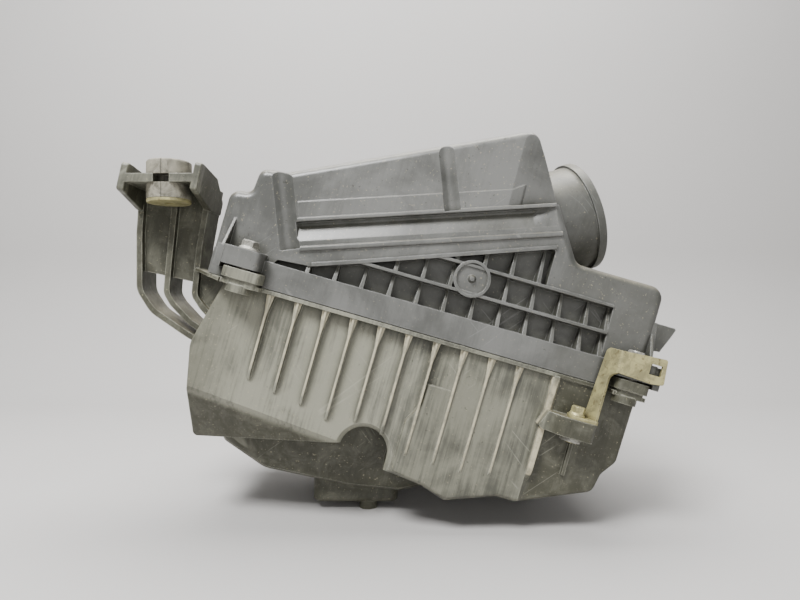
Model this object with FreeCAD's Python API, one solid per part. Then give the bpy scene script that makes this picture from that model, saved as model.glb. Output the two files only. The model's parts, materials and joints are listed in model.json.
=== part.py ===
"""Air filter housing for a car engine: a ribbed lower case with a mounting arm, an upper cover with
a sloping plenum and an outlet neck, and a panel filter clamped between them by four M6 bolts.

Two frames are used, both in millimetres.
  Seat frame (u, y, w): w = 0 is the parting plane between case and cover, u runs along the long
  side, y runs from the front skirt to the back, and w points out of the open case.
  Row frame (X, Y, Z): Z is up and the case stands on its feet. The parting plane leans by TILT about
  the Y axis, right side down. The origin is the bottom centre of the whole assembly.
"""
import FreeCAD
import Part
import math
import os

# ---------------------------------------------------------------- driving dimensions
TILT = 16.0                      # lean of the parting plane about Y, degrees
WALL = 2.8                       # moulded wall
SKIRT_W = 17.7                   # height of the cover's skirt
RIM_LEFT, RIM_RIGHT = -132.0, 177.0
RIM_FRONT, RIM_BACK = 0.0, 178.0
RIM_CORNER = 14.0
COVER_FRONT, COVER_BACK = 4.0, 168.0
COVER_LEFT, COVER_RIGHT = -130.5, 170.6
SHELF_W = 73.7                   # low shelf of the cover, to the right of the plenum
CASE_FRONT, CASE_BACK = 8.0, 170.0
SEAT_W = 8.0                     # the case's top edge, which the filter seal rests on
CLAMP_W = 15.0                   # the cover's ledge above the seal
LIP_TOP, LIP_BOTTOM = -0.5, -3.2
RIB_FIRST_U = -84.0              # first upright rib of the case and of the cover's grid
CASE_RIB_PITCH, COVER_RIB_PITCH = 19.3, 18.9
RIB_THICK, RIB_FLARE = 1.6, 5.4    # thickness of a case rib, and its width where it meets the lip
RIB_FRONT_Y = 2.8
CASE_RIB_ENDS = (-63.0, -67.0, -70.0, -75.0, -71.0, -74.0, -88.0, -89.0, -89.0, -85.0)
GROOVES = (((-101.5, 82.0), (-80.3, 29.5), 7.0, 4.2), ((-1.5, 132.0), (17.5, 84.5), 5.5, 3.6))
GRID_BACK_Y = 14.0               # bottom of the recess behind the cover's grid
SHELF_RIBS_W = (34.4, 52.8)      # the two long shelves of the grid
GATE_U, GATE_W = 42.5, 44.1      # centre of the round gate disc on the grid
CHAMBER_FRONT_Y = 17.0           # front of the cover's main cavity
OUTLET_R, OUTLET_LIP_R, OUTLET_BORE_R = 40.5, 42.5, 37.5
OUTLET_RISE, OUTLET_YAW = 32.3, 7.0   # direction of the neck in the seat frame, degrees
OUTLET_LENGTH, OUTLET_LIP = 34.0, 6.0
OUTLET_ROOT = (90.2, 76.0, 102.4)     # where the neck's axis leaves the plenum's end wall
INLET_R, INLET_BORE_R, INLET_LENGTH = 32.0, 29.5, 24.0
INLET_U, INLET_W = -62.0, -62.0
BOLT_U = (-104.0, 158.5)
BOLT_Y = (-6.0, 184.0)
BOLT_R, BOLT_HEX, BOLT_HEAD, BOLT_FLANGE_R = 3.0, 10.0, 5.0, 6.8
LUG_BOTTOM, LUG_TOP = 9.3, 21.5
CASE_LUG_TOP = 8.0
BOSS_R, BOSS_BOTTOM = 8.0, -7.5
SLEEVE_R, SLEEVE_BORE_R = 4.6, 3.3
INSERT_R, INSERT_BORE_R = 4.4, 3.05
LEAN_BOTTOM_Z = -80.4            # underside of the case's shallow left part (row directions)
SUMP_FRONT_Y, SUMP_BACK_Y = 40.0, 158.0
ARCH_U, ARCH_W, ARCH_R = 4.0, -88.5, 16.5
PANEL_Y = 4.6                    # front of the raised panel on the case's front wall
GROMMET_R, GROMMET_NECK_R = 15.0, 8.0
GROMMET_X, GROMMET_Y = -155.8, 19.0
GROMMET_BOTTOM_Z, GROMMET_TOP_Z = 86.0, 112.5
ARM_PLATE_Z = (96.1, 101.9)
ARM_FRONT_Y, ARM_RIB_Y, ARM_BACK_Y = 4.0, 40.0, 66.0
ARM_RIB_THICK = 4.2
SIDE_PLATE_THICK, SIDE_PLATE_LEAN = 5.0, 12.5   # the arm's two side plates lean to the right
SLOT_WIDTH = 10.8
COLLAR_R, COLLAR_BORE_R, COLLAR_FLANGE_T = 4.6, 3.3, 2.3
BRACKET_T = 2.0
BRACKET_FRONT_Y = -16.4
BRACKET_LEG = ((138.0, -0.9), (145.5, BRACKET_FRONT_Y))   # the leg's left face from above
BRACKET_LUG_TOP, BRACKET_LUG_BOTTOM = -25.5, -38.0
BRACKET_BOLT_U, BRACKET_BOLT_Y = 131.5, -7.0
BRACKET_BOLT_HEX, BRACKET_BOLT_FLANGE_R = 8.0, 5.3
FLOOR_Z = -142.0                 # standing plane
PLEAT_PITCH, PLEAT_TOP, PLEAT_BOTTOM = 6.0, 13.0, -27.0
PLEAT_DROP = 5.0                 # thickness of the folded sheet measured straight down a fold's wall
SEAL_INSET, SEAL_WIDTH, SEAL_GAP = 7.0, 11.0, 0.2

RAD = math.pi / 180.0
COS, SIN = math.cos(TILT * RAD), math.sin(TILT * RAD)
V = FreeCAD.Vector


# ---------------------------------------------------------------- frames
def row(x, z):
    """A point given in row directions, as (u, w) of the seat frame with the same origin."""
    return x * COS - z * SIN, x * SIN + z * COS


def lean(shape):
    """Turns a shape built in the seat frame into row directions."""
    turned = shape.copy()
    turned.rotate(V(0, 0, 0), V(0, 1, 0), TILT)
    return turned


def unlean(shape):
    """Turns a shape built in row directions into the seat frame."""
    turned = shape.copy()
    turned.rotate(V(0, 0, 0), V(0, 1, 0), -TILT)
    return turned


# ---------------------------------------------------------------- outlines and prisms
def outline(corners, place):
    """A closed wire through (a, b) or (a, b, radius) corners, rounded, set in space by place(a, b)."""
    count = len(corners)
    entry, leave, middle = [], [], []
    for i, corner in enumerate(corners):
        a, b = corner[0], corner[1]
        radius = corner[2] if len(corner) > 2 else 0.0
        before, after = corners[i - 1], corners[(i + 1) % count]
        da, db = before[0] - a, before[1] - b
        ea, eb = after[0] - a, after[1] - b
        dl, el = math.hypot(da, db), math.hypot(ea, eb)
        da, db, ea, eb = da / dl, db / dl, ea / el, eb / el
        half = math.acos(max(-1.0, min(1.0, da * ea + db * eb))) / 2.0
        if radius < 1e-6 or abs(half - math.pi / 2) < 1e-4:
            entry.append((a, b))
            leave.append((a, b))
            middle.append(None)
            continue
        back = radius / math.tan(half)
        entry.append((a + da * back, b + db * back))
        leave.append((a + ea * back, b + eb * back))
        ma, mb = da + ea, db + eb
        ml = math.hypot(ma, mb)
        reach = radius / math.sin(half) - radius
        middle.append((a + ma / ml * reach, b + mb / ml * reach))
    edges = []
    for i in range(count):
        if middle[i] is not None:
            edges.append(Part.Arc(place(*entry[i]), place(*middle[i]), place(*leave[i])).toShape())
        start, end = leave[i], entry[(i + 1) % count]
        if math.hypot(start[0] - end[0], start[1] - end[1]) > 1e-6:
            edges.append(Part.LineSegment(place(*start), place(*end)).toShape())
    return Part.Wire(edges)


def prism_y(corners, y0, y1):
    """An outline in (u, w), or in row (X, Z), run from y0 to y1."""
    face = Part.Face(outline(corners, lambda a, b: V(a, y0, b)))
    return face.extrude(V(0, y1 - y0, 0))


def prism_w(corners, w0, w1):
    """An outline in (u, y) run from w0 to w1."""
    face = Part.Face(outline(corners, lambda a, b: V(a, b, w0)))
    return face.extrude(V(0, 0, w1 - w0))


def prism_u(corners, u0, u1):
    """An outline in (y, w) run from u0 to u1."""
    face = Part.Face(outline(corners, lambda a, b: V(u0, a, b)))
    return face.extrude(V(u1 - u0, 0, 0))


def rounded_rect(a0, a1, b0, b1, radius):
    return [(a0, b0, radius), (a1, b0, radius), (a1, b1, radius), (a0, b1, radius)]


def box(u0, u1, y0, y1, w0, w1):
    return Part.makeBox(u1 - u0, y1 - y0, w1 - w0, V(u0, y0, w0))


def disc(u, y, w0, w1, radius):
    return Part.makeCylinder(radius, w1 - w0, V(u, y, w0), V(0, 0, 1))


def fuse(shapes):
    whole = shapes[0].multiFuse(shapes[1:]) if len(shapes) > 1 else shapes[0]
    return whole.removeSplitter()


def soften(shape, radius, wanted):
    """Rounds the edges that wanted(edge) picks, and leaves the shape sharp if they can't be."""
    edges = [e for e in shape.Edges if wanted(e)]
    try:
        rounded = shape.makeFillet(radius, edges)
        if rounded.isValid() and rounded.Volume > 0:
            return rounded
    except Exception as problem:
        print("fillet left out:", radius, len(edges), problem)
    return shape


def at_y(edge, y):
    return all(abs(p.Point.y - y) < 1e-4 for p in edge.Vertexes)


# ---------------------------------------------------------------- upper cover
def cover_profile(inset):
    """The cover seen from the front, drawn in by inset."""
    i = inset
    return [
        (COVER_LEFT + i, CLAMP_W),
        (COVER_LEFT + i, 58.5 - i, max(8.0 - i, 1)),
        (-116.5 + i, 59.5 - i, 5.0 + i),
        (-115.0 + i, 77.3 - i, max(7.0 - i, 1)),
        (-97.0 + i * 0.2, 79.4 - i, 12.0),
        (57.8 - i * 0.6, 153.8 - i * 1.3, max(9.0 - i, 1)),
        (108.3 - i * 1.3, SHELF_W - i * 0.8, 8.0 + i),
        (COVER_RIGHT - i, SHELF_W - i, max(9.0 - i, 1)),
        (COVER_RIGHT - i, CLAMP_W),
    ]


def back_slope(grow):
    """The wedge that slopes the back of the plenum."""
    return prism_u([(COVER_BACK + 1 - grow, 62), (COVER_BACK - 32 - grow, 165),
                    (COVER_BACK + 60, 165), (COVER_BACK + 60, 62)], -140, 180)


def end_chamfer(grow):
    """Cuts the plenum's front right corner back, above the lip, towards the outlet end."""
    left_top, left_low = V(51.0, COVER_FRONT, 158.0), V(52.4, COVER_FRONT, 97.2)
    run = V(46.0, 13.0, 0)
    points = []
    for base in (left_top, left_low):
        near = base + V(0, grow, 0)
        rise = V(0, 0, 0) if base is left_top else V(0, 0, 16.0)
        far = near + run + rise
        points.append([near, far, V(far.x, -10, far.z), V(near.x, -10, near.z)])
    rings = [Part.makePolygon(p + [p[0]]) for p in points]
    return Part.makeLoft(rings, True, True)


def along_lip(distance, below):
    """A point on the front face, that far along the lip from its left end and below it."""
    angle = math.atan2(105.9 - 48.4, 82.7 + 81.5)
    return (-81.5 + distance * math.cos(angle) + below * math.sin(angle),
            48.4 + distance * math.sin(angle) - below * math.cos(angle))


LIP_LENGTH = math.hypot(82.7 + 81.5, 105.9 - 48.4)


def lip_prism(section, start, end):
    """A section in (y, below the lip) run along the lip."""
    angle = math.atan2(105.9 - 48.4, 82.7 + 81.5)
    u0, w0 = along_lip(start, 0)

    def place(y, below):
        return V(u0 + below * math.sin(angle), y, w0 - below * math.cos(angle))

    run = V(math.cos(angle), 0, math.sin(angle)) * (end - start)
    return Part.Face(outline(section, place)).extrude(run)


def grid_recess():
    """The recess of the grid: a triangle under the plenum and a strip above the skirt."""
    return prism_y([(-88.0, SKIRT_W), (-86.5, 20.5), (-63.0, 22.5, 3), (-33.4, 33.0, 2), (91.6, 79.0, 2),
                    (91.6, 54.0, 1), (139.0, 53.6, 1), (140.0, SKIRT_W)], -5.0, GRID_BACK_Y)


def grid_ribs():
    """Two long shelves, the gussets that stand on each level, and the round gate disc."""
    recess = grid_recess()
    solids = []
    for w, start in zip(SHELF_RIBS_W, (-36.0, 12.0)):
        solids.append(prism_u([(2.8, w + 1.0), (GRID_BACK_Y + 1, w + 1.6), (GRID_BACK_Y + 1, w - 1.6),
                               (2.8, w - 1.0)], start, 140.0))
    levels = (SKIRT_W,) + SHELF_RIBS_W + (78.0,)
    for i in range(1, 13):
        u = RIB_FIRST_U + i * COVER_RIB_PITCH if i < 12 else 138.4
        solids += [gusset(u, low, high) for low, high in zip(levels, levels[1:])]
    kept = fuse(solids).common(recess)
    gate = V(GATE_U, 0.0, GATE_W)
    along = V(0, 1, 0)
    plate = Part.makeCylinder(12.0, GRID_BACK_Y - 3.0, gate + along * 4.0, along)
    ring = Part.makeCylinder(12.6, GRID_BACK_Y - 1.2, gate + along * 2.2, along)
    ring = ring.cut(Part.makeCylinder(10.6, 20.0, gate, along))
    nub = Part.makeCone(1.4, 3.2, 3.0, gate + along * 1.4, along)
    return fuse([kept, plate, ring, nub])


def gusset(u, low, high):
    """A fin of the grid: wide and proud where it stands on its shelf, thin and set back at its top."""
    rings = []
    for w, half, front in ((low, 1.5, 3.2), (high, 0.7, 11.0)):
        corners = [V(u - half, front, w), V(u + half, front, w), V(u + half, GRID_BACK_Y + 1, w),
                   V(u - half, GRID_BACK_Y + 1, w)]
        rings.append(Part.makePolygon(corners + corners[:1]))
    return Part.makeLoft(rings, True, True)


def outlet_axis():
    direction = V(math.cos(OUTLET_RISE * RAD) * math.cos(OUTLET_YAW * RAD), math.sin(OUTLET_YAW * RAD),
                  math.sin(OUTLET_RISE * RAD) * math.cos(OUTLET_YAW * RAD))
    return V(*OUTLET_ROOT), direction


def bolt_places():
    """(name, u, y, outward) of the four cover bolts; outward is -1 at the front and 1 at the back."""
    return [(side + "_" + end, u, y, -1 if side == "front" else 1)
            for side, y in zip(("front", "rear"), BOLT_Y) for end, u in zip(("left", "right"), BOLT_U)]


def cover_lug(u, y, outward):
    """The block that a cover bolt clamps, its alignment hook and the gusset on the wall above."""
    left = u < 0
    wall = COVER_FRONT + 1 if outward < 0 else COVER_BACK - 1
    y0, y1 = sorted((wall, y + 8.0 * outward))
    hidden = 8.0                 # the block runs on into the cover, where its rounded corners don't show
    u0, u1 = (u - 14.5, u + 10.5) if left else (u - 12.5, u + 13.5)
    reach0, reach1 = (y0, y1 + hidden) if outward < 0 else (y0 - hidden, y1)
    block = prism_w(rounded_rect(u0, u1, reach0, reach1, 3.5), LUG_BOTTOM, LUG_TOP)
    keep = box(u0 - 1, u1 + 1, y0, y1, 0, 40)
    hook_u = u0 - 4.0 if left else u1 - 0.4
    hook = box(hook_u, hook_u + 4.4, y0 + 1.5, y1 - 1.5, LUG_TOP - 15.4, LUG_TOP - 0.6)
    fin_u = u - 17.2 if left else u + 11.0
    fin = prism_u([(wall, LUG_TOP - 1), (wall + 12.0 * outward, LUG_TOP - 1), (wall, 42.0)],
                  fin_u - 0.9, fin_u + 0.9)
    return [block.common(keep), hook, fin]


def upper_cover():
    body = prism_y(cover_profile(0), COVER_FRONT, COVER_BACK).cut(back_slope(0))
    low = CLAMP_W + 0.1
    body = soften(body, 5.8, lambda e: at_y(e, COVER_FRONT) and e.BoundBox.ZMax > low)
    body = body.cut(end_chamfer(0))
    rim = prism_w(rounded_rect(RIM_LEFT, RIM_RIGHT, RIM_FRONT, RIM_BACK, RIM_CORNER), 0, SKIRT_W)
    hollow = prism_w(rounded_rect(RIM_LEFT + 3, RIM_RIGHT - 3, RIM_FRONT + 3, RIM_BACK - 3, RIM_CORNER - 3),
                     -1, CLAMP_W)
    opening = prism_w(rounded_rect(-115.5, 160.5, CHAMBER_FRONT_Y, 161.5, 8), CLAMP_W - 1, SKIRT_W + 3)
    chamber = prism_y(cover_profile(3.0), CHAMBER_FRONT_Y, COVER_BACK - 3).cut(back_slope(3.5))
    chamber = chamber.common(box(-125, 167, 10, 168, SKIRT_W + 2, 170))
    bulge = prism_y(cover_profile(3.0), COVER_FRONT + 3, CHAMBER_FRONT_Y + 1)
    above_lip = lip_prism([(0, -4), (30, -4), (30, -160), (0, -160)], -20, LIP_LENGTH + 14)
    bulge = bulge.common(above_lip).cut(end_chamfer(3.5))
    for start, end, half, depth in GROOVES:
        bulge = bulge.cut(groove(start, end, half + WALL, depth + 1.8 * WALL))
    side_pocket = prism_y([(97, 57), (143, 57), (143, 21), (167, 21), (167, 70.5, 4), (106, 70.5)],
                          COVER_FRONT + 3, CHAMBER_FRONT_Y + 1)
    lip = lip_prism([(2.6, -2.6, 0.8), (6, -2.6), (6, 0.0), (2.6, 0.0, 0.6)], -1, LIP_LENGTH + 1)
    ledge_lip = prism_y([(-63.0, 22.5), (-33.4, 33.0), (91.6, 79.0), (91.6, 81.6), (-34.2, 35.4),
                         (-63.8, 25.0)], 2.4, 8)
    band = lip_prism([(3.6, -13.2), (6, -16.5), (6, -1.0), (3.6, -1.0)], 2, 158).cut(end_chamfer(-0.4))
    bead = lip_prism([(2.3, 16.6, 1.2), (6, 16.6), (6, 20.2), (2.3, 20.2, 1.2)], 1.0, LIP_LENGTH + 4)
    parts = [body, rim, lip, ledge_lip, band, bead]
    for _, u, y, outward in bolt_places():
        parts += cover_lug(u, y, outward)
    parts.append(side_tab())
    cover = fuse_loose(parts)
    root, direction = outlet_axis()
    neck = fuse([Part.makeCylinder(OUTLET_R, OUTLET_LENGTH + 14, root - direction * 14, direction),
                 Part.makeCylinder(OUTLET_LIP_R, OUTLET_LIP, root + direction * (OUTLET_LENGTH - OUTLET_LIP),
                                   direction)])
    neck = neck.cut(plenum_inside())
    cover = fuse_loose([cover, neck])
    bore = Part.makeCylinder(OUTLET_BORE_R, OUTLET_LENGTH + 32, root - direction * 30, direction)
    cuts = [hollow, opening, chamber, bulge, side_pocket, channel(), bore, grid_recess()]
    cuts += [groove(*valley) for valley in GROOVES]
    for _, u, y, _ in bolt_places():
        cuts.append(disc(u, y, LUG_BOTTOM - 1, LUG_TOP + 1, SLEEVE_R))
    cover = cover.cut(fuse_loose(cuts))
    return fuse_loose([cover, grid_ribs()])


def plenum_inside():
    return prism_y(cover_profile(3.0), CHAMBER_FRONT_Y, COVER_BACK - 3).cut(back_slope(3.5))


def fuse_loose(shapes):
    """Joins shapes and keeps the seams between their faces."""
    return shapes[0].multiFuse(shapes[1:])


def channel():
    """The trough between the lip and the bead. It runs out at its right end."""
    rings = []
    for distance, deep in ((0.0, 8.8), (LIP_LENGTH - 14, 8.8), (LIP_LENGTH + 1, 4.4)):
        section = [(-2.0, 0.0), (deep, 0.0), (deep - 0.2, 2.6), (COVER_FRONT + 0.3, 12.5), (2.0, 16.8),
                   (-2.0, 16.8)]
        corners = [V(u, y, w) for y, (u, w) in ((y, along_lip(distance, below)) for y, below in section)]
        rings.append(Part.makePolygon(corners + corners[:1]))
    return Part.makeLoft(rings, True, True)


def groove(start, end, half, depth):
    """A soft valley across the cover's front face, from start to end in (u, w)."""
    base = V(start[0], COVER_FRONT, start[1])
    run = V(end[0] - start[0], 0, end[1] - start[1])
    across = V(run.z, 0, -run.x)
    across.normalize()
    section = [(-half, -3.0), (-half, 0.0), (0.0, depth, half), (half, 0.0), (half, -3.0)]
    return Part.Face(outline(section, lambda a, b: base + across * a + V(0, b, 0))).extrude(run)


def side_tab():
    """A flat tab on the right wall, and the small gusset at the rim's front right corner."""
    tab = prism_y([(165, 30), (200.5, 33.5), (205.5, 45.6), (208.5, 54.0, 1.5), (165, 54.0)], 58.0, 61.0)
    gusset = prism_y([(168, 15), (176, 15), (171, 50), (168, 50)], 5.5, 8.5)
    return fuse([tab, gusset]) if tab.distToShape(gusset)[0] < 0.01 else Part.makeCompound([tab, gusset])


# ---------------------------------------------------------------- lower case
def case_profile():
    """The case's front wall seen from the front, in (u, w)."""
    return [(-118.0, LIP_BOTTOM + 0.5), (-129.5, -50.0, 16), row(-143.5, LEAN_BOTTOM_Z) + (3,),
            row(-30.0, LEAN_BOTTOM_Z), (19.5, -97.0), (27.0, -97.5, 2), (48.0, -99.8, 6), (66.0, -105.5, 6),
            (99.0, -93.0, 8), (112.0, -93.2, 6), (161.2, -72.0, 7), (163.6, -59.0, 9), (171.4, -48.5, 7),
            (172.4, LIP_BOTTOM + 0.5)]


def sump_profile():
    """The deep rear part of the case, in row directions."""
    return [(-126.7, -66.0), (-126.7, -86.5, 6), (-96.0, -107.6, 20), (-31.5, -121.2, 25),
            (4.0, -124.6, 8), (34.0, -118.0), (64.0, -100.0), (64.0, -66.0)]


def inset_face(corners, y, distance):
    """The outline's face at that y, drawn in by distance."""
    face = Part.Face(outline(corners, lambda a, b: V(a, y, b)))
    return face.makeOffset2D(-distance) if distance > 0 else face


def front_bevel(inward):
    """The half-space under the plane that bevels the case's lower left front edge."""
    normal = V(37.3, 170.5, 100.9)
    normal.normalize()
    point = V(-140.1, CASE_FRONT, -40.9) + normal * inward
    slab = Part.makeBox(400, 400, 200, V(-200, -200, 0))
    slab.Placement = FreeCAD.Placement(point, FreeCAD.Rotation(V(0, 0, 1), normal * -1))
    reach = box(-160, ARCH_U + (WALL if inward else 0), -10, 100, -150, 0)
    return unlean(slab).common(reach)


def arch_recess(grow):
    """The arched recess in the front wall, over the sump."""
    radius = ARCH_R + grow
    front, depth = CASE_FRONT - 12, SUMP_FRONT_Y - CASE_FRONT + 12 + grow
    hole = Part.makeCylinder(radius, depth, V(ARCH_U, front, ARCH_W), V(0, 1, 0))
    below = box(ARCH_U - radius, ARCH_U + radius, front, front + depth, -135, ARCH_W)
    return fuse([hole, below])


def arch_funnel():
    """Flares the arch open towards the front."""
    flare = 3.0
    cone = Part.makeCone(ARCH_R + flare, ARCH_R, flare, V(ARCH_U, CASE_FRONT, ARCH_W), V(0, 1, 0))
    wide, back = ARCH_R + flare, CASE_FRONT + flare
    legs = prism_w([(ARCH_U - wide, CASE_FRONT), (ARCH_U + wide, CASE_FRONT), (ARCH_U + ARCH_R, back),
                    (ARCH_U - ARCH_R, back)], -135.0, ARCH_W)
    return fuse([cone, legs])


def case_outer():
    upper = inset_face(case_profile(), CASE_FRONT, 0).extrude(V(0, CASE_BACK - CASE_FRONT, 0))
    upper = soften(upper, 2.2, lambda e: at_y(e, CASE_FRONT) and e.BoundBox.ZMin < LIP_BOTTOM)
    sump = unlean(inset_face(sump_profile(), SUMP_FRONT_Y, 0).extrude(V(0, SUMP_BACK_Y - SUMP_FRONT_Y, 0)))
    upper = upper.cut(front_bevel(0))
    upper = upper.cut(arch_recess(0))
    upper = upper.cut(arch_funnel())
    sump = soften(sump, 9.0, lambda e: at_y(e, SUMP_FRONT_Y) and e.BoundBox.ZMax < -75)
    return upper.fuse(sump)


def case_inner():
    depth = CASE_BACK - CASE_FRONT - 2 * WALL
    tall = case_profile()
    tall[0] = (-118.0, SEAT_W + 6.0)
    tall[-1] = (172.4, SEAT_W + 6.0)
    upper = inset_face([tall[0], (-118.0, LIP_BOTTOM)] + tall[1:-1] + [(172.4, LIP_BOTTOM), tall[-1]],
                       CASE_FRONT + WALL, WALL).extrude(V(0, depth, 0))
    sump = inset_face(sump_profile(), SUMP_FRONT_Y + WALL, WALL)
    sump = unlean(sump.extrude(V(0, SUMP_BACK_Y - SUMP_FRONT_Y - 2 * WALL, 0)))
    upper = upper.cut(front_bevel(WALL))
    upper = upper.cut(arch_recess(WALL))
    return upper.fuse(sump)


def case_ribs():
    """Upright ribs of the front wall, the thick last rib and the raised panel behind them."""
    solids = []
    for i, end in enumerate(CASE_RIB_ENDS):
        u = RIB_FIRST_U + i * CASE_RIB_PITCH
        solids.append(rib(u, RIB_THICK, RIB_FRONT_Y, end))
    solids.append(rib(114.6, 3.6, 0.8, -76.0))
    solids.append(box(136.3, 138.7, CASE_FRONT - 3.0, CASE_FRONT + 1, -66.0, BRACKET_LUG_BOTTOM + 1))
    low, high = BRACKET_LUG_TOP - 1, LIP_BOTTOM + 0.4
    solids.append(prism_y([(116.0, low), (141.0, low), (144.0, high), (118.0, high)], 2.6, CASE_FRONT + 1))
    return solids + raised_panel()


def raised_panel():
    """The part of the front wall that stands forward; its upper left corner ramps back to the wall."""
    left, split, right = 25.5, -32.0, 113.0
    notch = 32.5
    low = prism_y([(left, -95.5, 3), (left, -60.0), (notch, -46.0), (notch, split), (right, split),
                   (right, -91.6), (99.0, -91.6, 6), (66.0, -103.8, 6), (48.0, -98.4, 4)],
                  PANEL_Y, CASE_FRONT + 1)
    low = soften(low, 2.4, lambda e: at_y(e, PANEL_Y) and e.BoundBox.ZMin < split - 1
                 and e.BoundBox.XMin < right - 1)
    high = prism_w([(notch, CASE_FRONT + 1), (notch, CASE_FRONT - 0.1), (52.0, PANEL_Y), (right, PANEL_Y),
                    (right, CASE_FRONT + 1)], split, LIP_BOTTOM + 0.4)
    return [low, high]


def rib(u, thick, front, end):
    """An upright rib that flares where it meets the lip above and runs out at its lower end."""
    top = LIP_BOTTOM + 0.4
    side = [(front - 1.6, top), (CASE_FRONT + 1, top), (CASE_FRONT + 1, end), (CASE_FRONT - 1.2, end, 2),
            (front + 1.2, end + 7.0, 8), (front, top - 12.0, 8)]
    blade = prism_u(side, u - thick / 2, u + thick / 2)
    wide, narrow, low = max(thick, RIB_FLARE) / 2, thick / 2, top - 15.0
    root = prism_y([(u - wide, top), (u + wide, top), (u + narrow, low), (u - narrow, low)],
                   front + 0.3, CASE_FRONT + 1)
    return blade.fuse(root)


def case_rim():
    """The lip under the cover's skirt, the collar inside the skirt and the ledge for the seal."""
    gap = 0.5
    lip = prism_w(rounded_rect(RIM_LEFT, RIM_RIGHT, RIM_FRONT + gap, RIM_BACK - gap, RIM_CORNER),
                  LIP_BOTTOM, LIP_TOP)
    step = WALL + 0.6
    collar = prism_w(rounded_rect(RIM_LEFT + step, RIM_RIGHT - step, RIM_FRONT + step, RIM_BACK - step,
                                  RIM_CORNER - step), LIP_BOTTOM, SEAT_W + 4.0)
    edge = SEAL_INSET - 0.8
    pocket = prism_w(rounded_rect(RIM_LEFT + edge, RIM_RIGHT - edge, RIM_FRONT + edge, RIM_BACK - edge, 8.0),
                     SEAT_W, SEAT_W + 9)
    return lip, collar.cut(pocket)


def case_hollow():
    """The way through the ledge, from the seal's seat down into the case."""
    return prism_w(rounded_rect(-115.2, 160.2, 13.5, 164.5, 6.0), LIP_BOTTOM - 2.0, SEAT_W + 1)


def case_lug(u, y, outward):
    """The stepped block, boss and rest that take a cover bolt's threaded insert."""
    left = u < 0
    far = y + 8.0 * outward
    clear = RIM_FRONT - 0.6 if outward < 0 else RIM_BACK + 0.6
    inner = RIM_FRONT + 4.0 if outward < 0 else RIM_BACK - 4.0
    u0, u1 = (u - 12.0, u + 14.0) if left else (u - 9.5, u + 12.0)
    solids = []
    for inset, w0, w1 in ((0.0, 1.2, CASE_LUG_TOP), (1.7, LIP_BOTTOM, 1.2)):
        y0, y1 = sorted((clear, far - inset * outward))
        rounded = prism_w(rounded_rect(u0 + inset, u1 - inset, y0 - (8 if outward > 0 else 0),
                                       y1 + (8 if outward < 0 else 0), 4.0), w0, w1)
        solids.append(rounded.common(box(u0, u1, y0, y1, w0, w1)))
    y0, y1 = sorted((far - 4 * outward, inner))
    solids.append(box(u0, u1, y0, y1, LIP_BOTTOM, LIP_TOP))
    solids.append(disc(u, y, BOSS_BOTTOM, LIP_BOTTOM + 1, BOSS_R))
    return solids


def bracket_lug():
    """The shelf on the case's front wall that the bracket is bolted to."""
    back = CASE_FRONT + 2
    block = prism_w([(110.0, back), (110.0, -4.0, 3), (123.0, -14.5, 6), (145.0, -14.5, 5), (145.0, back)],
                    BRACKET_LUG_BOTTOM, BRACKET_LUG_TOP)
    low, high = BRACKET_LUG_BOTTOM, BRACKET_LUG_TOP
    front = prism_y([(110.0, low + 1.6, 1), (113.8, high, 1), (146.0, high), (146.0, low), (113.0, low, 1)],
                    -20.0, back + 1)
    return [block.common(front)]


def thick_path(points, thick, y0, y1):
    """A plate that follows a path of (x, z) points, rounded at its bends, run from y0 to y1."""
    left, right = [], []
    for i, point in enumerate(points):
        ahead = points[min(i + 1, len(points) - 1)]
        behind = points[max(i - 1, 0)]
        dx, dz = ahead[0] - behind[0], ahead[1] - behind[1]
        length = math.hypot(dx, dz)
        nx, nz = -dz / length * thick / 2, dx / length * thick / 2
        radius = (point[2],) if len(point) > 2 else ()
        left.append((point[0] + nx, point[1] + nz) + radius)
        right.append((point[0] - nx, point[1] - nz) + radius)
    return prism_y(left + right[::-1], y0, y1)


def arm():
    """The mounting arm at the left: three curved ribs, two webs, two side plates and a slotted plate."""
    ribs = [[(-182.9, 106.0), (-185.7, 66.0, 40), (-185.7, 24.0, 16), (-176.0, 9.0, 20), (-152.0, -7.5, 30),
             (-130.0, -21.0)],
            [(-158.6, 98.0), (-164.0, 46.0, 40), (-166.1, 22.0, 10), (-161.7, 14.4, 8), (-149.0, 0.6, 20),
             (-130.0, -12.0)],
            [(-134.0, 100.0), (-142.0, 55.0, 60), (-145.7, 20.0, 8), (-140.0, 11.6, 8), (-126.8, -3.4, 14),
             (-116.0, -12.0)]]
    solids = [thick_path(path, ARM_RIB_THICK, ARM_RIB_Y, ARM_BACK_Y) for path in ribs]
    web = [(-185.7, 38.4), (-184.0, 99.0), (-134.0, 99.0), (-143.0, 29.0)]
    wall_web = [(-146.0, 38.4), (-113.3, 29.0), (-118.0, 19.0), (-131.0, -2.0), (-141.0, 9.0),
                (-145.7, 20.0)]
    solids += [prism_y(corners, ARM_RIB_Y + 5, ARM_RIB_Y + 8) for corners in (web, wall_web)]
    low, high = ARM_PLATE_Z
    plate = box(-182.0, -134.0, ARM_FRONT_Y, ARM_BACK_Y - 18, low, high)
    solids += [plate, side_plate(-184.4), side_plate(-135.0)]
    whole = fuse(solids)
    seat = disc(GROMMET_X, GROMMET_Y, low - 1, high + 1, GROMMET_NECK_R)
    mouth = box(GROMMET_X - SLOT_WIDTH / 2, GROMMET_X + SLOT_WIDTH / 2, ARM_FRONT_Y - 1, GROMMET_Y,
                low - 1, high + 1)
    return unlean(whole.cut(fuse([seat, mouth])))


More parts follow.
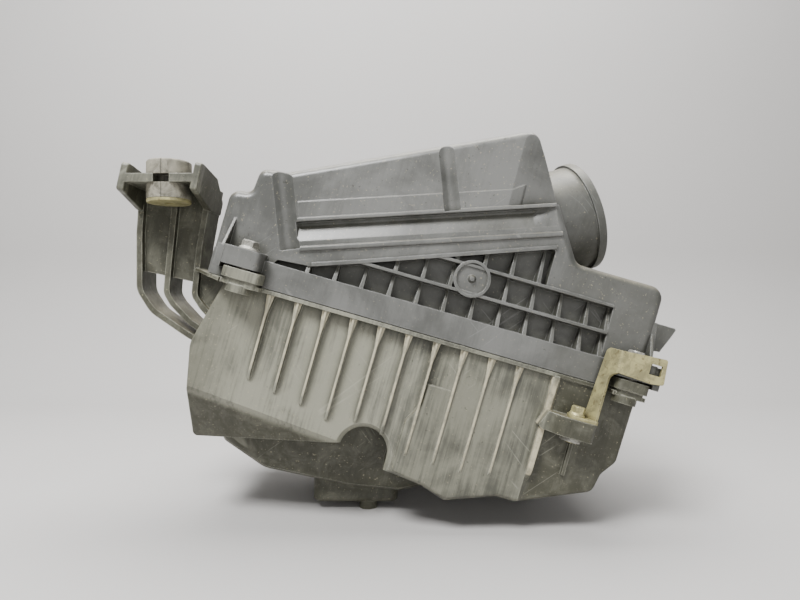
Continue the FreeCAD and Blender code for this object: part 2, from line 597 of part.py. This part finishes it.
def side_plate(x):
    """A leaning plate at one end of the slotted plate, with its foot centred on x."""
    foot = 88.5
    half = SIDE_PLATE_THICK / 2
    top = 109.8
    plate = prism_u([(ARM_FRONT_Y, foot + 2.5, 2), (ARM_FRONT_Y, top, 2.5), (10.0, top, 3), (42.0, top - 3.3, 4),
                     (ARM_BACK_Y, 92.0, 3), (ARM_BACK_Y, 82.0), (ARM_RIB_Y, 82.0, 3)], x - half, x + half)
    plate = soften(plate, 1.0, lambda e: e.BoundBox.YMax < ARM_FRONT_Y + 0.01)
    plate.rotate(V(x, 0, foot), V(0, 1, 0), SIDE_PLATE_LEAN)
    return plate


def arm_brace():
    """The flat web between the left front lug, the lip and the arm's inner rib."""
    left, right, back = -150.5, -117.0, ARM_RIB_Y + 16
    return prism_w([(right, -10.0), (left, ARM_RIB_Y + 1), (left, back), (right, back)], LIP_BOTTOM, LIP_TOP - 0.4)


def feet():
    """The block under the sump with its two nubs, and the leg under the right end."""
    block = prism_w(rounded_rect(-61.0, 3.0, 55.0, 138.0, 6.0), FLOOR_Z + 5.6, -104.0)
    block = soften(block, 3.5, lambda e: e.BoundBox.ZMax < FLOOR_Z + 6)
    nubs = [disc(-19.5, y, FLOOR_Z, FLOOR_Z + 8, 7.0) for y in (63.0, 128.0)]
    leg = Part.makeCone(8.0, 11.0, 32.0, V(104.0, 88.5, FLOOR_Z), V(0, 0, 1))
    return unlean(fuse([block] + nubs)), unlean(leg)


def inlet():
    return Part.makeCylinder(INLET_R, INLET_LENGTH + 1, V(INLET_U, CASE_BACK - 1, INLET_W), V(0, 1, 0))


def lower_case():
    lip, collar = case_rim()
    foot, leg = feet()
    outer = [case_outer(), lip, collar, arm(), arm_brace(), foot, leg, inlet()] + case_ribs() + bracket_lug()
    for _, u, y, outward in bolt_places():
        outer += case_lug(u, y, outward)
    case = fuse_loose(outer)
    cuts = [case_inner(), case_hollow()]
    bore_start = V(INLET_U, CASE_BACK - 12, INLET_W)
    cuts.append(Part.makeCylinder(INLET_BORE_R, INLET_LENGTH + 20, bore_start, V(0, 1, 0)))
    for _, u, y, _ in bolt_places():
        cuts.append(disc(u, y, BOSS_BOTTOM - 1, CASE_LUG_TOP + 1, INSERT_R))
    cuts.append(disc(BRACKET_BOLT_U, BRACKET_BOLT_Y, BRACKET_LUG_BOTTOM - 1, BRACKET_LUG_TOP + 1, INSERT_R))
    return case.cut(fuse_loose(cuts))


# ---------------------------------------------------------------- filter element
def filter_seal():
    outer = rounded_rect(RIM_LEFT + SEAL_INSET, RIM_RIGHT - SEAL_INSET, RIM_FRONT + SEAL_INSET,
                         RIM_BACK - SEAL_INSET, 7.5)
    inset = SEAL_INSET + SEAL_WIDTH
    inner = rounded_rect(RIM_LEFT + inset, RIM_RIGHT - inset, RIM_FRONT + inset, RIM_BACK - inset, 0.0)
    return prism_w(outer, SEAT_W, CLAMP_W - SEAL_GAP).cut(prism_w(inner, SEAT_W - 1, CLAMP_W + 1))


def filter_media():
    """One sheet of paper folded into pleats, drawn as a zigzag between the seal's two long sides."""
    inset = SEAL_INSET + SEAL_WIDTH
    u0, u1 = RIM_LEFT + inset, RIM_RIGHT - inset
    folds = 2 * int((u1 - u0) // PLEAT_PITCH)
    crest, trough = PLEAT_TOP, PLEAT_BOTTOM + PLEAT_DROP
    sheet = [(u0 + (u1 - u0) * i / folds, crest if i % 2 == 0 else trough) for i in range(folds + 1)]
    underside = [(u, w - PLEAT_DROP) for u, w in sheet]
    return prism_y(sheet + underside[::-1], RIM_FRONT + inset, RIM_BACK - inset)


# ---------------------------------------------------------------- hardware
def hex_bolt(u, y, seat, length, flats=BOLT_HEX, flange_r=BOLT_FLANGE_R):
    """A flanged hex bolt whose head sits on w = seat, with a plain shank for its thread."""
    reach = flats / math.sqrt(3)
    corners = [(u + reach * math.cos(a * 60 * RAD), y + reach * math.sin(a * 60 * RAD)) for a in range(6)]
    head = prism_w(corners, seat + 0.5, seat + BOLT_HEAD + 1.2)
    crown = Part.makeCone(flats / 2 + 1.4, flats / 2 - 0.2, 1.7, V(u, y, seat + BOLT_HEAD - 0.5), V(0, 0, 1))
    head = head.cut(disc(u, y, seat + BOLT_HEAD - 0.5, seat + 12, 12).cut(crown))
    skirt = Part.makeCone(flange_r, flats / 2 + 0.4, 1.4, V(u, y, seat + 0.6), V(0, 0, 1))
    flange = fuse([skirt, disc(u, y, seat, seat + 0.6, flange_r)])
    shank = disc(u, y, seat - length, seat + 1, BOLT_R)
    tip = Part.makeCone(BOLT_R - 0.8, BOLT_R, 1.0, V(u, y, seat - length - 1.0), V(0, 0, 1))
    return fuse([head, flange, shank, tip])


def sleeve(u, y, low, high, radius, bore):
    return disc(u, y, low, high, radius).cut(disc(u, y, low - 1, high + 1, bore))


def bracket():
    """A folded zinc strip: front plate with a square hole, slanting leg beside the case, bolted foot."""
    (back_u, back_y), (front_u, front_y) = BRACKET_LEG
    reach = math.hypot(front_u - back_u, front_y - back_y)
    ahead = V((front_u - back_u) / reach, (front_y - back_y) / reach, 0)
    aside = V(-ahead.y, ahead.x, 0)
    neck = 11.2                  # width of the leg below the front plate
    leg_corners = [(0.0, BRACKET_LUG_TOP), (4.0, 25.4, 4), (reach, 25.4), (reach, 11.0), (neck, 7.5, 5),
                   (neck, BRACKET_LUG_TOP)]
    leg_face = Part.Face(outline(leg_corners, lambda along, w: V(back_u, back_y, w) + ahead * along))
    leg = leg_face.extrude(aside * BRACKET_T)
    front = prism_y([(front_u, 25.4), (175.0, 27.4, 1.5), (176.6, 10.8, 1.5), (168.0, 9.8), (front_u, 11.0)],
                    BRACKET_FRONT_Y, BRACKET_FRONT_Y + BRACKET_T)
    low_front = V(back_u, back_y, 0) + ahead * neck + aside * BRACKET_T
    low_back = V(back_u, back_y, 0) + aside * BRACKET_T
    foot_left, foot_front = BRACKET_BOLT_U - 5.5, -13.2
    foot = prism_w([(foot_left, foot_front, 4), (low_front.x + 0.4, foot_front, 2), (low_front.x, low_front.y),
                    (low_back.x, low_back.y), (back_u, back_y), (foot_left, back_y, 4)],
                   BRACKET_LUG_TOP, BRACKET_LUG_TOP + BRACKET_T)
    whole = fuse([front, leg, foot])
    whole = soften(whole, 2.2, lambda e: all(abs(p.Point.y - front_y) + abs(p.Point.x - front_u) < 0.01
                                             for p in e.Vertexes))
    hole = box(165.4, 173.0, BRACKET_FRONT_Y - 1, BRACKET_FRONT_Y + BRACKET_T + 1, 15.6, 22.4)
    return whole.cut(fuse_loose([hole, disc(BRACKET_BOLT_U, BRACKET_BOLT_Y, -40, -10, COLLAR_BORE_R)]))


def bracket_insert():
    u, y, low = BRACKET_BOLT_U, BRACKET_BOLT_Y, BRACKET_LUG_BOTTOM
    barrel = sleeve(u, y, low, BRACKET_LUG_TOP, INSERT_R, INSERT_BORE_R)
    flange = sleeve(u, y, low - 2.4, low, 6.8, INSERT_BORE_R)
    return fuse([barrel, flange])


def arm_grommet():
    """The rubber bush in the arm's slot: two round pads joined by a neck, bored for its collar."""
    low, high = ARM_PLATE_Z
    x, y = GROMMET_X, GROMMET_Y
    upper = disc(x, y, high, GROMMET_TOP_Z, GROMMET_R)
    upper = soften(upper, 1.6, lambda e: e.BoundBox.ZMin > GROMMET_TOP_Z - 0.1)
    lower = disc(x, y, GROMMET_BOTTOM_Z, low, GROMMET_R)
    neck = disc(x, y, low - 0.5, high + 0.5, GROMMET_NECK_R)
    bore = disc(x, y, GROMMET_BOTTOM_Z - 1, GROMMET_TOP_Z + 1, COLLAR_R)
    return unlean(fuse([upper, lower, neck]).cut(bore))


def arm_collar():
    """The flanged steel collar that stops the bush being crushed."""
    x, y = GROMMET_X, GROMMET_Y
    tube = disc(x, y, GROMMET_BOTTOM_Z, GROMMET_TOP_Z + 0.4, COLLAR_R)
    flange = disc(x, y, GROMMET_BOTTOM_Z - COLLAR_FLANGE_T, GROMMET_BOTTOM_Z, GROMMET_R - 0.2)
    flange = soften(flange, 0.8, lambda e: e.BoundBox.ZMax < GROMMET_BOTTOM_Z - COLLAR_FLANGE_T + 0.1)
    bore = disc(x, y, GROMMET_BOTTOM_Z - 5, GROMMET_TOP_Z + 5, COLLAR_BORE_R)
    return unlean(fuse([tube, flange]).cut(bore))


# ---------------------------------------------------------------- the whole assembly
def build():
    nodes = {
        "lower_case": lower_case(),
        "upper_cover": upper_cover(),
        "filter_seal": filter_seal(),
        "filter_media": filter_media(),
        "arm_grommet": arm_grommet(),
        "arm_collar": arm_collar(),
        "bracket": bracket(),
        "bracket_insert": bracket_insert(),
        "bracket_bolt": hex_bolt(BRACKET_BOLT_U, BRACKET_BOLT_Y, BRACKET_LUG_TOP + BRACKET_T, 17.0,
                                 BRACKET_BOLT_HEX, BRACKET_BOLT_FLANGE_R),
    }
    for name, u, y, _ in bolt_places():
        nodes["cover_bolt_" + name] = hex_bolt(u, y, LUG_TOP, LUG_TOP + 6.0)
        nodes["cover_sleeve_" + name] = sleeve(u, y, CASE_LUG_TOP + 0.3, LUG_TOP, SLEEVE_R, SLEEVE_BORE_R)
        nodes["case_insert_" + name] = sleeve(u, y, BOSS_BOTTOM, CASE_LUG_TOP, INSERT_R, INSERT_BORE_R)
    return {name: lean(shape) for name, shape in nodes.items()}


def main():
    os.makedirs("parts", exist_ok=True)
    nodes = build()
    whole = Part.makeCompound(list(nodes.values())).BoundBox
    shift = V(-(whole.XMin + whole.XMax) / 2, -(whole.YMin + whole.YMax) / 2, -FLOOR_Z)
    print("shift", tuple(round(c, 4) for c in shift), "box", [round(c, 2) for c in (
        whole.XLength, whole.YLength, whole.ZMax - FLOOR_Z)], "lowest", round(whole.ZMin - FLOOR_Z, 3))
    for name, shape in nodes.items():
        shape.translate(shift)
        volume = shape.Volume / 1000
        print(f"{name:28s} solids {len(shape.Solids)} valid {shape.isValid()} volume {volume:9.2f} cm3")
        shape.exportStep("parts/" + name + ".step")


main()
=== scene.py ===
import json
import math

import bpy
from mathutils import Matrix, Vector


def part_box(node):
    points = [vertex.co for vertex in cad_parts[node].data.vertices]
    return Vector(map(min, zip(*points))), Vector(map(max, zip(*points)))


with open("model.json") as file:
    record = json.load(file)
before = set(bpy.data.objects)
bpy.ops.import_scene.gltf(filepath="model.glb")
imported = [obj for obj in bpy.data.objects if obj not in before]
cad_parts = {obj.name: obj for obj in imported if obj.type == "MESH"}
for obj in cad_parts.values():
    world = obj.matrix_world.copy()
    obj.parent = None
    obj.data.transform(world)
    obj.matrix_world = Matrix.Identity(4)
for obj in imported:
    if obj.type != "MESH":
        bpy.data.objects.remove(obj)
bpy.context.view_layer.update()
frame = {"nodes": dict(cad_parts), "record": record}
bush_low, bush_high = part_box("arm_grommet")

# All lengths are in metres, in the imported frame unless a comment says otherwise.
LEAN = math.radians(16.0)                # the parting plane leans down towards +X
SEAT_SHIFT = (0.0517, 0.0888, -0.1329)   # from leaned-back packed axes to the seat frame (u, y, w)
BUSH_X = (bush_low[0] + bush_high[0]) / 2    # where the bush's two mould halves meet
EDGE_RANGE = (0.01, 0.12)                # how far the rounded normal turns on a faint and on a full edge
UPWARD_RANGE = (0.25, 0.85)              # upward part of the normal where dust starts and where it is full
CAMERA_AT = Vector((-0.0083, -0.4888, 0.1586))
LENS_MM, SENSOR_MM = 27.1, 36.0
FLOOR_FRONT_Y, BACKDROP_Y = -3.0, 0.66
BACKDROP_HEIGHT, STAGE_HALF_WIDTH = 3.0, 4.0
BEND_RADIUS, BEND_STEPS = 0.25, 12       # the sweep's curve from floor to backdrop


# ---------------------------------------------------------------- node helpers
class Graph:
    """Builds one material's node tree."""

    def __init__(self, name):
        self.material = bpy.data.materials.new(name)
        self.material.use_nodes = True
        self.tree = self.material.node_tree
        self.tree.nodes.clear()
        self.shader = self.add("ShaderNodeBsdfPrincipled")
        out = self.add("ShaderNodeOutputMaterial")
        self.link(self.shader.outputs["BSDF"], out.inputs["Surface"])

    def add(self, kind, **settings):
        node = self.tree.nodes.new(kind)
        for key, value in settings.items():
            setattr(node, key, value)
        return node

    def link(self, source, target):
        self.tree.links.new(source, target)

    def feed(self, target, value):
        """Links a socket to the target, or sets the target to a number or a colour."""
        if isinstance(value, bpy.types.NodeSocket):
            self.link(value, target)
        elif isinstance(value, tuple) and target.type == "RGBA":
            target.default_value = (*value, 1.0)
        else:
            target.default_value = value

    def math(self, operation, a, b=0.0):
        node = self.add("ShaderNodeMath", operation=operation)
        self.feed(node.inputs[0], a)
        self.feed(node.inputs[1], b)
        return node.outputs[0]

    def times(self, *factors):
        result = factors[0]
        for factor in factors[1:]:
            result = self.math("MULTIPLY", result, factor)
        return result

    def mix(self, factor, a, b):
        node = self.add("ShaderNodeMix", data_type="RGBA")
        self.feed(node.inputs["Factor"], factor)
        self.feed(node.inputs["A"], a)
        self.feed(node.inputs["B"], b)
        return node.outputs["Result"]

    def span(self, value, low, high, to_low=0.0, to_high=1.0):
        """Goes smoothly from to_low to to_high as the value goes from low to high."""
        node = self.add("ShaderNodeMapRange", interpolation_type="SMOOTHSTEP")
        self.feed(node.inputs["Value"], value)
        numbers = {"From Min": low, "From Max": high, "To Min": to_low, "To Max": to_high}
        for key, number in numbers.items():
            node.inputs[key].default_value = number
        return node.outputs["Result"]

    def seat(self):
        """Seat-frame coordinates: u along the long side, y front to back, w square to the parting plane."""
        turned = self.add("ShaderNodeMapping", vector_type="POINT")
        turned.inputs["Rotation"].default_value = (0, -LEAN, 0)
        turned.inputs["Location"].default_value = SEAT_SHIFT
        self.link(self.add("ShaderNodeTexCoord").outputs["Object"], turned.inputs["Vector"])
        return turned.outputs["Vector"]

    def squeeze(self, vector, factors, turn=(0, 0, 0)):
        """Turns the vector, then scales it: a factor under 1 draws a pattern out along that axis."""
        node = self.add("ShaderNodeMapping", vector_type="TEXTURE")
        node.inputs["Scale"].default_value = [1.0 / factor for factor in factors]
        node.inputs["Rotation"].default_value = turn
        self.link(vector, node.inputs["Vector"])
        return node.outputs["Vector"]

    def noise(self, vector, scale, detail=4.0, rough=0.55, distort=0.0):
        node = self.add("ShaderNodeTexNoise")
        self.link(vector, node.inputs["Vector"])
        numbers = {"Scale": scale, "Detail": detail, "Roughness": rough, "Distortion": distort}
        for key, number in numbers.items():
            node.inputs[key].default_value = number
        return node.outputs["Fac"]

    def axis(self, vector, letter):
        node = self.add("ShaderNodeSeparateXYZ")
        self.link(vector, node.inputs[0])
        return node.outputs[letter]

    def rounded_normal(self, radius):
        node = self.add("ShaderNodeBevel", samples=4)
        node.inputs["Radius"].default_value = radius
        return node.outputs["Normal"]

    def edges(self, radius):
        """1 along sharp edges, 0 on flat stretches."""
        dot = self.add("ShaderNodeVectorMath", operation="DOT_PRODUCT")
        self.link(self.rounded_normal(radius), dot.inputs[0])
        self.link(self.add("ShaderNodeNewGeometry").outputs["Normal"], dot.inputs[1])
        return self.span(self.math("SUBTRACT", 1.0, dot.outputs["Value"]), *EDGE_RANGE)

    def crevice(self, reach):
        """1 deep in corners and recesses, 0 on open surfaces."""
        node = self.add("ShaderNodeAmbientOcclusion", samples=6, only_local=False)
        node.inputs["Distance"].default_value = reach
        return self.math("SUBTRACT", 1.0, node.outputs["AO"])

    def facing_up(self):
        normal = self.add("ShaderNodeNewGeometry").outputs["Normal"]
        return self.span(self.axis(normal, "Z"), *UPWARD_RANGE)

    def scratches(self, vector, scale, turn, width=0.010, density=0.6):
        """Thin, long, nearly straight lines, in patches."""
        drawn_out = self.squeeze(vector, (1, 1, 0.04), (0, turn, 0))
        line = self.math("SUBTRACT", self.noise(drawn_out, scale, detail=0.0, rough=0.4), 0.5)
        thin = self.span(self.math("ABSOLUTE", line), 0.0, width, 1.0, 0.0)
        patches = self.noise(vector, scale * 0.45, detail=2.0, rough=0.5)
        return self.times(thin, self.span(patches, density, density + 0.08))

    def relief(self, height, strength, distance, round_off=0.0):
        """Feeds a bump, over edges rounded by round_off, to the shader's normal."""
        bump = self.add("ShaderNodeBump")
        bump.inputs["Strength"].default_value = strength
        bump.inputs["Distance"].default_value = distance
        self.feed(bump.inputs["Height"], height)
        if round_off:
            self.link(self.rounded_normal(round_off), bump.inputs["Normal"])
        self.link(bump.outputs["Normal"], self.shader.inputs["Normal"])

    def finish(self, colour, roughness, metallic=0.0):
        self.feed(self.shader.inputs["Base Color"], colour)
        self.feed(self.shader.inputs["Roughness"], roughness)
        self.shader.inputs["Metallic"].default_value = metallic
        return self.material


# ---------------------------------------------------------------- moulded plastic
def lighter(colour, gain, lift=0.0):
    return tuple(min(1.0, c * gain + lift) for c in colour)


def grime_and_painted_shade(g, seat, zones):
    """Painted shade mixed with grime: dark in the plastic's corners and recesses from an occlusion mask, and
    along each zone's axis from its start to its end, broken up by a mottle.
    """
    # Painted shade: an occlusion mask darkens corners and recesses.
    shade_and_grime_mask = g.times(g.span(g.crevice(0.012), 0.15, 0.55), 0.85)
    for letter, start, end, strength in zones:
        zone = g.times(g.span(g.axis(seat, letter), start, end), strength)
        shade_and_grime_mask = g.math("MAXIMUM", shade_and_grime_mask, zone)
    mottle = g.noise(seat, 60.0, detail=5.0, rough=0.7, distort=0.8)
    return g.times(shade_and_grime_mask, g.span(mottle, 0.3, 0.62, 0.7, 1.0))


def rib_fronts_dust_and_highlight(g, seat):
    """1 on the front faces of the case's upright ribs, in patches: there the plastic gets a cream that is
    partly dust and partly a painted highlight.
    """
    y = g.axis(seat, "Y")
    front = g.times(g.span(y, 0.0036, 0.0043, 1.0, 0.0), g.span(y, -0.0010, 0.0006))
    below_lip = g.span(g.axis(seat, "Z"), -0.0040, -0.0032, 1.0, 0.0)
    left_of_block = g.span(g.axis(seat, "X"), 0.116, 0.1185, 1.0, 0.0)
    patches = g.span(g.noise(seat, 150.0, detail=4.0, rough=0.7), 0.3, 0.6, 0.3, 0.9)
    return g.times(front, below_lip, left_of_block, patches)


def plastic(name, pale, dark, grime_and_shade_colour, dust, brush, zones, rough, rib_dust_and_highlight=False):
    """Used moulded plastic: smudged, faintly brushed, darkened by painted shade mixed with grime in corners
    and zones, dusty on top and worn on edges.

    zones is a list of (axis, start, end, strength) in the seat frame, brush is the strength of the
    upright streaks, and rough is the roughness where the plastic is cleanest.
    """
    g = Graph(name)
    seat = g.seat()
    smudge = g.noise(seat, 24.0, detail=6.0, rough=0.62, distort=0.6)
    blotch = g.noise(seat, 7.0, detail=3.0, rough=0.5)
    streak = g.noise(g.squeeze(seat, (1.0, 1.0, 0.05)), 520.0, detail=3.0, rough=0.6)
    tone = g.math("ADD", g.times(smudge, 0.6), g.times(blotch, 0.4))
    tone = g.math("ADD", tone, g.times(g.math("SUBTRACT", streak, 0.5), brush))
    colour = g.mix(g.span(tone, 0.36, 0.6), dark, pale)

    # Painted shade mixed with grime: corners and zones go towards the dark grime-and-shade colour.
    shade_and_grime_mask = grime_and_painted_shade(g, seat, zones)
    colour = g.mix(shade_and_grime_mask, colour, grime_and_shade_colour)
    dust_cover = g.span(g.noise(seat, 90.0, detail=5.0, rough=0.7), 0.28, 0.74, 0.16, 0.5)
    colour = g.mix(g.times(g.facing_up(), dust_cover), colour, dust)
    flecks = g.span(g.noise(seat, 640.0, detail=2.0, rough=0.65), 0.665, 0.7)
    colour = g.mix(g.times(flecks, 0.5), colour, lighter(dust, 1.3))
    pits = g.span(g.noise(seat, 380.0, detail=2.0, rough=0.6), 0.7, 0.73)
    colour = g.mix(g.times(pits, 0.6), colour, grime_and_shade_colour)
    scrapes = g.math("MAXIMUM", g.scratches(seat, 60.0, 0.7), g.scratches(seat, 75.0, -0.9))
    colour = g.mix(g.times(scrapes, 0.35), colour, lighter(pale, 1.35, 0.04))
    # Rib fronts: a cream that is partly dust and partly a painted highlight.
    if rib_dust_and_highlight:
        colour = g.mix(rib_fronts_dust_and_highlight(g, seat), colour, lighter(dust, 1.55, 0.03))
    wear = g.span(g.noise(seat, 170.0, detail=3.0, rough=0.6), 0.3, 0.62, 0.25, 0.9)
    colour = g.mix(g.times(g.edges(0.0012), wear), colour, lighter(pale, 1.3, 0.05))

    grain = g.noise(seat, 1200.0, detail=2.0, rough=0.5)
    height = g.math("ADD", g.times(grain, 0.5), g.times(streak, brush * 2.0))
    height = g.math("SUBTRACT", height, g.times(scrapes, 0.6))
    g.relief(height, strength=0.3, distance=0.0003, round_off=0.0009)
    film = g.math("ADD", g.times(shade_and_grime_mask, 0.25), g.times(smudge, 0.3))
    return g.finish(colour, g.span(film, 0.05, 0.45, rough, rough + 0.22))


# ---------------------------------------------------------------- metal, rubber and paper
def plated_metal(name, bright, dull, stain, stain_from=0.58):
    """Zinc plating gone patchy, with stains and bright edges."""
    g = Graph(name)
    seat = g.seat()
    cloud = g.noise(seat, 120.0, detail=5.0, rough=0.65, distort=0.6)
    colour = g.mix(g.span(cloud, 0.36, 0.62), bright, dull)
    spots = g.span(g.noise(seat, 210.0, detail=5.0, rough=0.7, distort=1.0), stain_from, stain_from + 0.1)
    corners = g.span(g.crevice(0.006), 0.35, 0.8, 0.0, 0.75)
    colour = g.mix(g.math("MAXIMUM", g.times(spots, 0.7), corners), colour, stain)
    wear = g.span(g.noise(seat, 300.0, detail=3.0, rough=0.6), 0.35, 0.6, 0.2, 0.8)
    colour = g.mix(g.times(g.edges(0.0009), wear), colour, lighter(bright, 1.25, 0.03))
    grain = g.noise(seat, 1500.0, detail=2.0, rough=0.5)
    g.relief(g.math("ADD", grain, g.times(cloud, 0.8)), strength=0.3, distance=0.0003, round_off=0.0005)
    return g.finish(colour, g.span(cloud, 0.3, 0.7, 0.36, 0.6), metallic=0.45)


def rubber(name, clean, dusty, seam=False):
    """Matt rubber with a bloom, scuffs and, on the bush, the seam where its mould halves met."""
    g = Graph(name)
    seat = g.seat()
    cloud = g.noise(seat, 90.0, detail=6.0, rough=0.68, distort=0.6)
    colour = g.mix(g.span(cloud, 0.34, 0.6), clean, dusty)
    # Painted shade: the rubber goes darker in corners and recesses.
    colour = g.mix(g.span(g.crevice(0.01), 0.3, 0.8, 0.0, 0.8), colour, lighter(clean, 0.35))
    scuffs = g.scratches(seat, 150.0, 0.4, width=0.02, density=0.5)
    colour = g.mix(g.times(scuffs, 0.5), colour, lighter(dusty, 1.3))
    colour = g.mix(g.times(g.edges(0.0012), 0.6), colour, lighter(dusty, 1.3))
    height = g.math("ADD", g.noise(seat, 1300.0, detail=2.0, rough=0.6), cloud)
    if seam:
        x = g.axis(g.add("ShaderNodeTexCoord").outputs["Object"], "X")
        line = g.span(g.math("ABSOLUTE", g.math("SUBTRACT", x, BUSH_X)), 0.00015, 0.0004, 1.0, 0.0)
        colour = g.mix(g.times(line, 0.8), colour, lighter(clean, 0.4))
        height = g.math("SUBTRACT", height, g.times(line, 1.5))
    g.relief(height, strength=0.4, distance=0.0004, round_off=0.0007)
    return g.finish(colour, g.span(cloud, 0.2, 0.8, 0.58, 0.85))


def paper(name, tint, shade):
    """Pleated filter paper with fibres, and painted shade darkening the folds."""
    g = Graph(name)
    seat = g.seat()
    fibre = g.noise(g.squeeze(seat, (1, 0.2, 1)), 1800.0, detail=3.0, rough=0.6)
    cloud = g.noise(seat, 60.0, detail=4.0, rough=0.6)
    colour = g.mix(g.span(g.math("ADD", fibre, cloud), 0.7, 1.3), tint, shade)
    # Painted shade in the folds.
    colour = g.mix(g.span(g.crevice(0.008), 0.3, 0.9, 0.0, 0.6), colour, lighter(shade, 0.45))
    g.relief(fibre, strength=0.5, distance=0.0002)
    return g.finish(colour, 0.9)


# ---------------------------------------------------------------- the object's own materials
# Zones darkened towards the grime-and-shade colour, as (axis, start, end, strength); mostly painted shade.
CASE_ZONES = [
    ("X", 0.110, 0.119, 0.93),      # the plain block to the right of the ribs, in painted shade
    ("Y", 0.0090, 0.0125, 0.93),    # everything behind the front wall, in painted shade
    ("X", 0.020, 0.034, 0.35),      # the right half of the ribbed wall, lightly, in painted shade
    ("X", -0.085, -0.125, 0.5),     # the left end
]
COVER_ZONES = [
    ("X", 0.092, 0.118, 0.5),       # the right shelf
    ("Y", 0.0120, 0.0135, 0.4),     # the bottom of the grid and everything behind it, in painted shade
]


def make_materials():
    """The finished material of each of the record's material slots."""
    return {
        "case_plastic": plastic(
            "case_plastic", pale=(0.215, 0.213, 0.165), dark=(0.070, 0.071, 0.056),
            grime_and_shade_colour=(0.022, 0.021, 0.0095), dust=(0.28, 0.25, 0.165), brush=0.36, zones=CASE_ZONES,
            rough=0.36, rib_dust_and_highlight=True),
        "cover_plastic": plastic(
            "cover_plastic", pale=(0.124, 0.125, 0.118), dark=(0.058, 0.059, 0.054),
            grime_and_shade_colour=(0.020, 0.020, 0.011), dust=(0.24, 0.215, 0.145), brush=0.10, zones=COVER_ZONES,
            rough=0.31),
        "zinc_plate": plated_metal(
            "zinc_plate", bright=(0.40, 0.365, 0.18), dull=(0.23, 0.21, 0.11), stain=(0.08, 0.052, 0.02),
            stain_from=0.56),
        "plated_steel": plated_metal(
            "plated_steel", bright=(0.40, 0.39, 0.35), dull=(0.17, 0.165, 0.145),
            stain=(0.07, 0.055, 0.03)),
        "bush_rubber": rubber(
            "bush_rubber", clean=(0.075, 0.07, 0.05), dusty=(0.25, 0.235, 0.185), seam=True),
        "seal_foam": rubber("seal_foam", clean=(0.02, 0.02, 0.022), dusty=(0.06, 0.06, 0.06)),
        "filter_paper": paper("filter_paper", tint=(0.62, 0.54, 0.38), shade=(0.45, 0.38, 0.25)),
    }


def dress_nodes():
    materials = make_materials()
    slots = {part["node"]: part["material_slot"] for part in frame["record"]["subparts"]}
    for node, obj in frame["nodes"].items():
        obj.data.materials.clear()
        obj.data.materials.append(materials[slots[node]])


# ---------------------------------------------------------------- stage, light and camera
def make_stage():
    """A floor that curves up into a backdrop."""
    bend_y = BACKDROP_Y - BEND_RADIUS
    profile = [(FLOOR_FRONT_Y, 0.0), (bend_y, 0.0)]
    for i in range(1, BEND_STEPS + 1):
        angle = math.pi / 2 * i / BEND_STEPS
        profile.append((bend_y + BEND_RADIUS * math.sin(angle), BEND_RADIUS - BEND_RADIUS * math.cos(angle)))
    profile.append((BACKDROP_Y, BACKDROP_HEIGHT))
    vertices = [(x, y, z) for y, z in profile for x in (-STAGE_HALF_WIDTH, STAGE_HALF_WIDTH)]
    faces = [(2 * i, 2 * i + 1, 2 * i + 3, 2 * i + 2) for i in range(len(profile) - 1)]
    mesh = bpy.data.meshes.new("sweep")
    mesh.from_pydata(vertices, [], faces)
    mesh.polygons.foreach_set("use_smooth", [True] * len(faces))
    sweep = bpy.data.objects.new("sweep", mesh)
    bpy.context.scene.collection.objects.link(sweep)
    g = Graph("sweep_paper")
    cloud = g.noise(g.add("ShaderNodeTexCoord").outputs["Object"], 2.0)
    mesh.materials.append(g.finish(g.mix(cloud, (0.40, 0.39, 0.38), (0.44, 0.43, 0.42)), 0.8))


def area_light(name, at, look_at, size, power, tint):
    light = bpy.data.lights.new(name, "AREA")
    light.shape = "RECTANGLE"
    light.size, light.size_y = size
    light.energy = power
    light.color = tint
    obj = bpy.data.objects.new(name, light)
    obj.location = at
    obj.rotation_euler = (Vector(look_at) - Vector(at)).to_track_quat("-Z", "Y").to_euler()
    bpy.context.scene.collection.objects.link(obj)


def make_lights():
    area_light("key", at=(-0.45, -0.85, 1.25), look_at=(0.0, 0.0, 0.13), size=(0.55, 0.45), power=44.0,
               tint=(1.0, 1.0, 1.0))
    area_light("overhead", at=(0.0, 0.15, 1.3), look_at=(0.0, 0.0, 0.1), size=(1.3, 0.7), power=30.0,
               tint=(1.0, 0.995, 0.985))
    area_light("front_fill", at=(0.4, -1.7, 0.45), look_at=(0.0, 0.0, 0.15), size=(1.6, 0.6), power=9.0,
               tint=(1.0, 0.99, 0.97))
    world = bpy.data.worlds.new("studio")
    world.use_nodes = True
    background = world.node_tree.nodes["Background"]
    background.inputs["Color"].default_value = (0.85, 0.87, 0.9, 1.0)
    background.inputs["Strength"].default_value = 0.3
    bpy.context.scene.world = world


def make_camera():
    """Looks level along +Y at the ribbed front."""
    data = bpy.data.cameras.new("camera")
    data.lens = LENS_MM
    data.sensor_width = SENSOR_MM
    data.clip_start, data.clip_end = 0.01, 20.0
    camera = bpy.data.objects.new("camera", data)
    camera.location = CAMERA_AT
    camera.rotation_euler = (math.radians(90.0), 0.0, 0.0)
    bpy.context.scene.collection.objects.link(camera)
    bpy.context.scene.camera = camera


dress_nodes()
make_stage()
make_lights()
make_camera()
